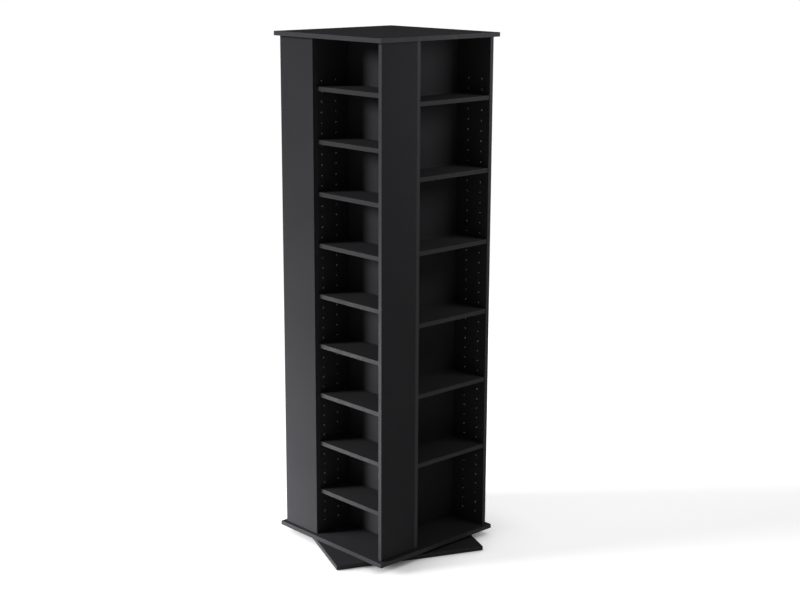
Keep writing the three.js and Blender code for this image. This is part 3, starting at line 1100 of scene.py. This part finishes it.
@dataclass
class Screw:
    """A pan-head screw with a cross recess, pointing down, with the underside of its head at zero."""

    head_radius: float = 3.8 * MM
    head_height: float = 1.6 * MM
    length: float = 10.1 * MM
    thread_radius: float = 1.75 * MM
    core_radius: float = 1.25 * MM
    pitch: float = 1.4 * MM
    flank_share: float = 0.3
    tip: float = 2.5 * MM
    neck: float = 1.2 * MM
    recess_width: float = 0.9 * MM
    recess_length: float = 4.4 * MM
    recess_depth: float = 1.0 * MM
    recess_slope: float = 0.3 * MM
    dome_power: int = 4
    shoulder_angle: float = 1.15
    shoulder_rings: int = 8
    crown_rings: int = 15
    rows_per_turn: int = 8
    steps: int = 32

    @property
    def circle(self) -> Circuit:
        """The way round the screw."""
        return Circuit.circle(self.steps)

    def shank(self) -> list[Patch]:
        """Makes the threaded shank as a grid of height and angle.

        The thread's share is a triangle wave of height over pitch less angle over a full turn. The radius
        is the core's plus that share of the thread's depth. It fades out into a plain neck below the
        head, and narrows to nothing over the length of the tip.

        Returns:
            The surface.
        """
        rows = round(self.length / self.pitch * self.rows_per_turn) + 1
        heights = np.linspace(-self.length, 0, rows)[:, None]
        wave = (heights / self.pitch - np.arange(self.steps) / self.steps) % 1
        ridge = np.clip(1 - np.abs(wave - 0.5) / self.flank_share, 0, 1)
        threaded = self.core_radius + (self.thread_radius - self.core_radius) * ridge
        fade = np.clip(-heights / self.neck, 0, 1)
        narrowing = np.clip((heights + self.length) / self.tip, 0, 1)
        radii = (threaded * fade + self.thread_radius * (1 - fade)) * narrowing
        points = self.lifted(radii, np.broadcast_to(heights, radii.shape))
        return wrap(points, smooth_looks(points))

    def head(self) -> list[Patch]:
        """Makes the head as a grid of radius and angle, over its flat underside.

        Its height is that of a fourth-power ellipse, which is nearly flat on top and steep at the rim.
        The rings of the steep shoulder crowd towards the rim, where the cosine of an angle nears one.
        The cross recess is the greater of two bars at right angles. A bar's share of the recess depth
        falls from one to nothing over the width of its slope.

        Returns:
            The surface.
        """
        angles = np.linspace(0, self.shoulder_angle, self.shoulder_rings)
        shoulder = self.head_radius * np.sqrt(np.cos(angles))
        crown = np.linspace(shoulder[-1], 0, self.crown_rings)[1:]
        radii = np.concatenate([shoulder, crown])[:, None]
        dome = (1 - (radii / self.head_radius) ** self.dome_power) ** (1 / self.dome_power)
        across = np.abs(radii[..., None] * self.circle.spokes)
        widths = np.clip((self.recess_width / 2 - across) / self.recess_slope + 1, 0, 1)
        lengths = np.clip((self.recess_length / 2 - across) / self.recess_slope, 0, 1)
        cross = np.maximum(widths[..., 0] * lengths[..., 1], widths[..., 1] * lengths[..., 0])
        heights = self.head_height * dome - self.recess_depth * cross
        points = self.lifted(np.broadcast_to(radii, cross.shape), heights)
        underside = Profile((self.thread_radius, 0.0)).line(self.head_radius, 0.0)
        return [*wrap(points, smooth_looks(points)), *underside.swept(self.circle)]

    def lifted(self, radii: np.ndarray, heights: np.ndarray) -> np.ndarray:
        """Turns radii and heights, one column for each spoke, into points."""
        return np.concatenate([radii[..., None] * self.circle.spokes, heights[..., None]], -1)

    def patches(self) -> list[Patch]:
        """Returns the whole screw."""
        return [*self.shank(), *self.head()]


@dataclass
class Swivel:
    """The ball-bearing swivel: two pressed plates, a caged ring of balls and eight screws.

    Each plate is a square sheet with a round opening and one hollow pressed ridge. The lower plate's
    ridge lies inside the balls and the upper one's outside, so that they hold the balls between them.
    """

    workshop: Workshop
    half: float = 114.3 * MM
    corner: float = 12 * MM
    sheet: float = 1.2 * MM
    opening: float = 70 * MM
    ridge_top: float = 4.8 * MM
    ridge_width: float = 6 * MM
    ball_circle: float = 88 * MM
    ball_radius: float = 1.625 * MM
    ball_count: int = 24
    run_gap: float = 0.35 * MM
    cage_width: float = 2.2 * MM
    cage_thickness: float = 0.8 * MM
    foot_bend: float = 0.6 * MM
    crown_bend: float = 1.6 * MM
    mouth_bend: float = 1.0 * MM
    hollow_bend: float = 0.8 * MM
    side_steps: int = 24
    corner_steps: int = 6
    ball_steps: int = 16
    cage_steps: int = 120
    screw_count: int = 4

    def plate(self, ridge_inner: float) -> list[Patch]:
        """Draws a plate's section and carries it round the square.

        Args:
            ridge_inner: Inner radius of the ridge.

        Returns:
            The plate, lying on the height zero with its ridge up.
        """
        ridge_outer = ridge_inner + self.ridge_width
        hollow_inner, hollow_outer = ridge_inner + self.sheet, ridge_outer - self.sheet
        hollow_top = self.ridge_top - self.sheet
        profile = (
            Profile((self.half, 0.0), on_outline=True)
            .line(self.half, self.sheet, on_outline=True)
            .line(ridge_outer + self.foot_bend, self.sheet)
            .bend(self.foot_bend, 270, 180)
            .line(ridge_outer, self.ridge_top - self.crown_bend)
            .bend(self.crown_bend, 0, 90)
            .line(ridge_inner + self.crown_bend, self.ridge_top)
            .bend(self.crown_bend, 90, 180)
            .line(ridge_inner, self.sheet + self.foot_bend)
            .bend(self.foot_bend, 0, -90)
            .line(self.opening, self.sheet)
            .line(self.opening, 0.0)
            .line(hollow_inner - self.mouth_bend, 0.0)
            .bend(self.mouth_bend, -90, 0)
            .line(hollow_inner, hollow_top - self.hollow_bend)
            .bend(self.hollow_bend, 180, 90)
            .line(hollow_outer - self.hollow_bend, hollow_top)
            .bend(self.hollow_bend, 90, 0)
            .line(hollow_outer, self.mouth_bend)
            .bend(self.mouth_bend, 180, 270)
            .line(self.half, 0.0, on_outline=True)
        )
        outline = Circuit.rounded_square(self.half, self.corner, self.side_steps, self.corner_steps)
        return profile.swept(outline)

    def build_ring(self) -> None:
        """Makes the balls, each a half circle carried round, and the stamped cage that spaces them."""
        node, body, slot = "swivel_ball_cage", "ball_ring", "zinc_steel"
        low, high = box_of(node)
        middle = (low[2] + high[2]) / 2
        ball = Profile((0.0, -self.ball_radius)).bend(self.ball_radius, -90, 90, self.ball_steps // 2)
        patches = ball.swept(Circuit.circle(self.ball_steps), (self.ball_circle, 0, middle))
        step = 2 * math.pi / self.ball_count
        balls = [patch.turned(step * number) for number in range(self.ball_count) for patch in patches]
        fit_piece("swivel_balls", node, balls, [self.workshop.ball_steel], body)
        inner, outer = (self.ball_circle + sign * self.cage_width / 2 for sign in (-1, 1))
        top = self.cage_thickness / 2
        cage = Profile((outer, -top)).line(outer, top).line(inner, top).line(inner, -top).line(outer, -top)
        ring = cage.swept(Circuit.circle(self.cage_steps), (0, 0, middle))
        fit_piece("swivel_cage", node, ring, [self.workshop.zinc], body)

    def build_half(self, level: str, body: str, turn: float, ridge_inner: float, upended: bool) -> None:
        """Makes a plate and its four screws.

        Args:
            level: The half's name in the frame.
            body: The body that it rides on.
            turn: Radians that it is turned by.
            ridge_inner: Inner radius of its ridge.
            upended: Whether its ridge and screw heads look down.
        """
        screw = Screw()
        shapes = {f"swivel_{level}_plate": (self.plate(ridge_inner), self.ridge_top)}
        for number in range(1, self.screw_count + 1):
            shapes[f"swivel_{level}_screw_{number}"] = (screw.patches(), screw.head_height)
        for node, (patches, top) in shapes.items():
            low, high = box_of(node)
            height = low[2] + top if upended else high[2] - top
            way = (*((low + high) / 2)[:2], height)
            placed = [(patch.upended() if upended else patch).turned(turn).moved(way) for patch in patches]
            fit_piece(f"{node}_detail", node, placed, [self.workshop.zinc], body)

    def build(self) -> None:
        """Makes the whole swivel."""
        clearance = self.ball_radius + self.run_gap
        lower_ridge = self.ball_circle - clearance - self.ridge_width
        self.build_half("lower", "stand", BASE_TURN, lower_ridge, upended=False)
        self.build_half("upper", "tower", 0.0, self.ball_circle + clearance, upended=True)
        self.build_ring()


@dataclass
class Glides:
    """The four moulded pads that the base stands on, each with a dimple for the tool that fits it."""

    workshop: Workshop
    radius: float = 12 * MM
    height: float = 1 * MM
    rim: float = 0.3 * MM
    dimple_radius: float = 3 * MM
    dimple_depth: float = 0.5 * MM
    steps: int = 48
    count: int = 4

    def build(self) -> None:
        """Draws a glide's section, from the top of its dimple outwards, and carries it round."""
        profile = (
            Profile((0.0, self.dimple_depth))
            .line(self.dimple_radius - self.dimple_depth, self.dimple_depth)
            .bend(self.dimple_depth, 90, 0)
            .line(self.radius - self.rim, 0.0)
            .bend(self.rim, -90, 0)
            .line(self.radius, self.height)
            .line(0.0, self.height)
        )
        for number in range(1, self.count + 1):
            node = f"base_glide_{number}"
            low, high = box_of(node)
            patches = profile.swept(Circuit.circle(self.steps), (*((low + high) / 2)[:2], low[2]))
            fit_piece(f"{node}_detail", node, patches, [self.workshop.plastic], "stand")


def direction(azimuth: float, height: float) -> Vector:
    """Gives the unit vector that looks along an azimuth, anticlockwise from X, and up by a height.

    Args:
        azimuth: In degrees.
        height: In degrees above the level.

    Returns:
        The vector.
    """
    azimuth, height = math.radians(azimuth), math.radians(height)
    level = math.cos(height)
    return Vector((math.cos(azimuth) * level, math.sin(azimuth) * level, math.sin(height)))


@dataclass
class SoftBox:
    """A large soft lamp.

    Attributes:
        name: The lamp's name.
        place: Where its middle is.
        aim: The point that it faces.
        size: Its width and height.
        brightness: Of its face, where 1 is the brightness of white paper under plain light.
    """

    name: str
    place: tuple[float, float, float]
    aim: tuple[float, float, float]
    size: tuple[float, float]
    brightness: float

    def build(self) -> None:
        """Makes the lamp. Its power is pi times brightness times area, as its light leaves evenly."""
        lamp = bpy.data.lights.new(self.name, "AREA")
        lamp.shape = "RECTANGLE"
        lamp.size, lamp.size_y = self.size
        lamp.energy = math.pi * self.brightness * self.size[0] * self.size[1]
        box = put_in_scene(lamp)
        box.location = self.place
        away = Vector(self.place) - Vector(self.aim)
        box.rotation_euler = away.to_track_quat("Z", "Y").to_euler()
        box.visible_camera = False


@dataclass
class Studio:
    """A white paper floor and soft lamps, with the key lamp low on the camera's left.

    The floor's lift is the light that it adds of itself where it is seen, less within the contact
    distance of what stands on it, which paints shade round the tower's foot. Angles are in degrees.
    """

    floor_half: float = 30.0
    paper: str = "#e6e6e6"
    floor_lift: float = 0.653
    painted_shade_reach: float = 0.2
    painted_shade_samples: int = 4
    ambient: float = 0.14
    key_strength: float = 3.35
    key_azimuth: float = 146.8
    key_height: float = 18.0
    key_spread: float = 17.0
    soft_boxes: tuple[SoftBox, ...] = (
        SoftBox("low_soft_box", (-0.8, 0.7, 0.3), (-0.2, 0.15, 0.3), (0.5, 0.56), 12.0),
        SoftBox("foot_soft_box", (-0.5, 0.36, 0.05), (-0.22, 0.12, 0.04), (0.3, 0.08), 14.0),
        SoftBox("high_front_soft_box", (0.5, -0.9, 1.62), (0.05, -0.2, 1.35), (0.5, 0.4), 7.0),
        SoftBox("far_side_soft_box", (3.2, 0.5, 0.8), (0.2, 0.0, 0.8), (2.0, 1.5), 5.0),
    )

    def seen_directly(self, add: Callable[..., Node]) -> Node:
        """Tells whether a ray is the camera's own, or its mirror image in gloss or glass.

        Args:
            add: The add_node of the node tree that asks.

        Returns:
            A node that gives 1 if so and 0 if not.
        """
        rays = add("ShaderNodeLightPath").outputs
        reflected = {0: rays["Is Glossy Ray"], 1: rays["Is Transmission Ray"]}
        mirrored = add("ShaderNodeMath", reflected, operation="MAXIMUM")
        return add("ShaderNodeMath", {0: rays["Is Camera Ray"], 1: mirrored}, operation="MAXIMUM")

    def build_floor(self) -> None:
        """Makes the floor, which shows as white, keeps the tower's shadow and has painted shade close to its
        foot.
        """
        material, add = new_material("studio_paper")
        paper = add("ShaderNodeBsdfDiffuse", {"Color": linear(self.paper)})
        reach = {"Distance": self.painted_shade_reach}
        # Ambient occlusion dims the floor's glow near the tower's foot: painted contact shade.
        painted_shade_openness = add("ShaderNodeAmbientOcclusion", reach, samples=self.painted_shade_samples).outputs["AO"]
        lift_less_painted_contact_shade = add("ShaderNodeMath", {0: painted_shade_openness, 1: self.floor_lift}, operation="MULTIPLY")
        lift = add("ShaderNodeMath", {0: self.seen_directly(add), 1: lift_less_painted_contact_shade}, operation="MULTIPLY")
        glow = add("ShaderNodeEmission", {"Color": WHITE, "Strength": lift})
        both = add("ShaderNodeAddShader", {0: paper, 1: glow})
        add("ShaderNodeOutputMaterial", {"Surface": both})
        half = self.floor_half
        mesh = bpy.data.meshes.new("studio_floor")
        corners = [(-half, -half, 0), (half, -half, 0), (half, half, 0), (-half, half, 0)]
        mesh.from_pydata(corners, [], [(0, 1, 2, 3)])
        mesh.materials.append(material)
        put_in_scene(mesh)

    def build_air(self) -> None:
        """Makes the surroundings: white where they are seen, and a low even light elsewhere."""
        world = bpy.data.worlds.new("studio_air")
        bpy.context.scene.world = world
        world.use_nodes = True
        world.node_tree.nodes.clear()
        add = partial(add_node, world.node_tree)
        levels = {0: self.seen_directly(add), 2: self.ambient, 3: 1.0}
        strength = add("ShaderNodeMix", levels, data_type="FLOAT")
        background = add("ShaderNodeBackground", {"Color": WHITE, "Strength": strength})
        add("ShaderNodeOutputWorld", {"Surface": background})

    def build_key(self) -> None:
        """Makes the key lamp, whose direction is that of the shadow in the picture."""
        lamp = bpy.data.lights.new("key_lamp", "SUN")
        lamp.energy = self.key_strength
        lamp.angle = math.radians(self.key_spread)
        towards = direction(self.key_azimuth, self.key_height)
        put_in_scene(lamp).rotation_euler = towards.to_track_quat("Z", "Y").to_euler()

    def build(self) -> None:
        """Makes the floor, the air and the lamps."""
        self.build_floor()
        self.build_air()
        self.build_key()
        for soft_box in self.soft_boxes:
            soft_box.build()
        bpy.context.scene.view_settings.view_transform = "Standard"


@dataclass
class PictureCamera:
    """The camera at the picture's viewing angle.

    Attributes:
        place: Where it stands.
        heading: Degrees anticlockwise from the X axis that it looks along.
        pitch: Degrees that it looks down.
        roll: Degrees that its picture is turned.
        focal_pixels: Its focal length in pixels of a picture that is image_width wide.
        image_width: The picture's width in pixels.
        sensor_width: The camera's, in the millimetres that Blender gives a lens in.
    """

    place: tuple[float, float, float] = (-2.934, -3.198, 1.7775)
    heading: float = 46.925
    pitch: float = 13.48
    roll: float = -0.22
    focal_pixels: float = 1502.0
    image_width: int = 800
    sensor_width: float = 36.0

    def build(self) -> None:
        """Makes the camera and gives it to the scene."""
        data = bpy.data.cameras.new("picture_camera")
        data.sensor_width = self.sensor_width
        data.lens = self.focal_pixels / self.image_width * self.sensor_width
        camera = put_in_scene(data)
        ahead = direction(self.heading, -self.pitch)
        level_right = ahead.cross(Vector((0, 0, 1))).normalized()
        level_up = level_right.cross(ahead)
        cosine, sine = math.cos(math.radians(self.roll)), math.sin(math.radians(self.roll))
        right = level_right * cosine - level_up * sine
        up = level_right * sine + level_up * cosine
        turn = Matrix((right, up, -ahead)).transposed()
        camera.matrix_world = Matrix.Translation(self.place) @ turn.to_4x4()
        bpy.context.scene.camera = camera


def main() -> None:
    """Builds the camera, the studio and the tower."""
    logging.basicConfig(level=logging.INFO, format="%(message)s")
    PictureCamera().build()
    Studio().build()
    workshop = Workshop(
        raw=RawChipboard().build(),
        laminate=PressedLaminate().build(),
        band=EdgeBand().build(),
        # The shelves' band is the edge band made darker: painted shade for fronts that sit back in the bay.
        shelf_band_painted_shade=EdgeBand("abs_shelf_band_painted_shade", "#242426", "#2c2c2e", "#3e3e40").build(),
        zinc=PlatedSteel("zinc_plated_steel_rolled", "#b9bcc0", "#8d9196", 0.28, 0.44).build(),
        nickel=PlatedSteel("nickel_plated_steel_turned", "#c9c6bf", "#a5a29b", 0.19, 0.35).build(),
        ball_steel=PlatedSteel("bearing_steel_polished", "#c4c5c8", "#aaacb0", 0.08, 0.24).build(),
        plastic=GlidePlastic().build(),
    )
    Plates(workshop).build()
    bays = (
        Bay(Side.FRONT, Side.RIGHT, 6, workshop),
        Bay(Side.LEFT, Side.FRONT, 9, workshop),
        Bay(Side.BACK, Side.LEFT, 6, workshop),
        Bay(Side.RIGHT, Side.BACK, 6, workshop),
    )
    for bay in bays:
        bay.build()
    Swivel(workshop).build()
    Glides(workshop).build()


if __name__ == "__main__":
    main()
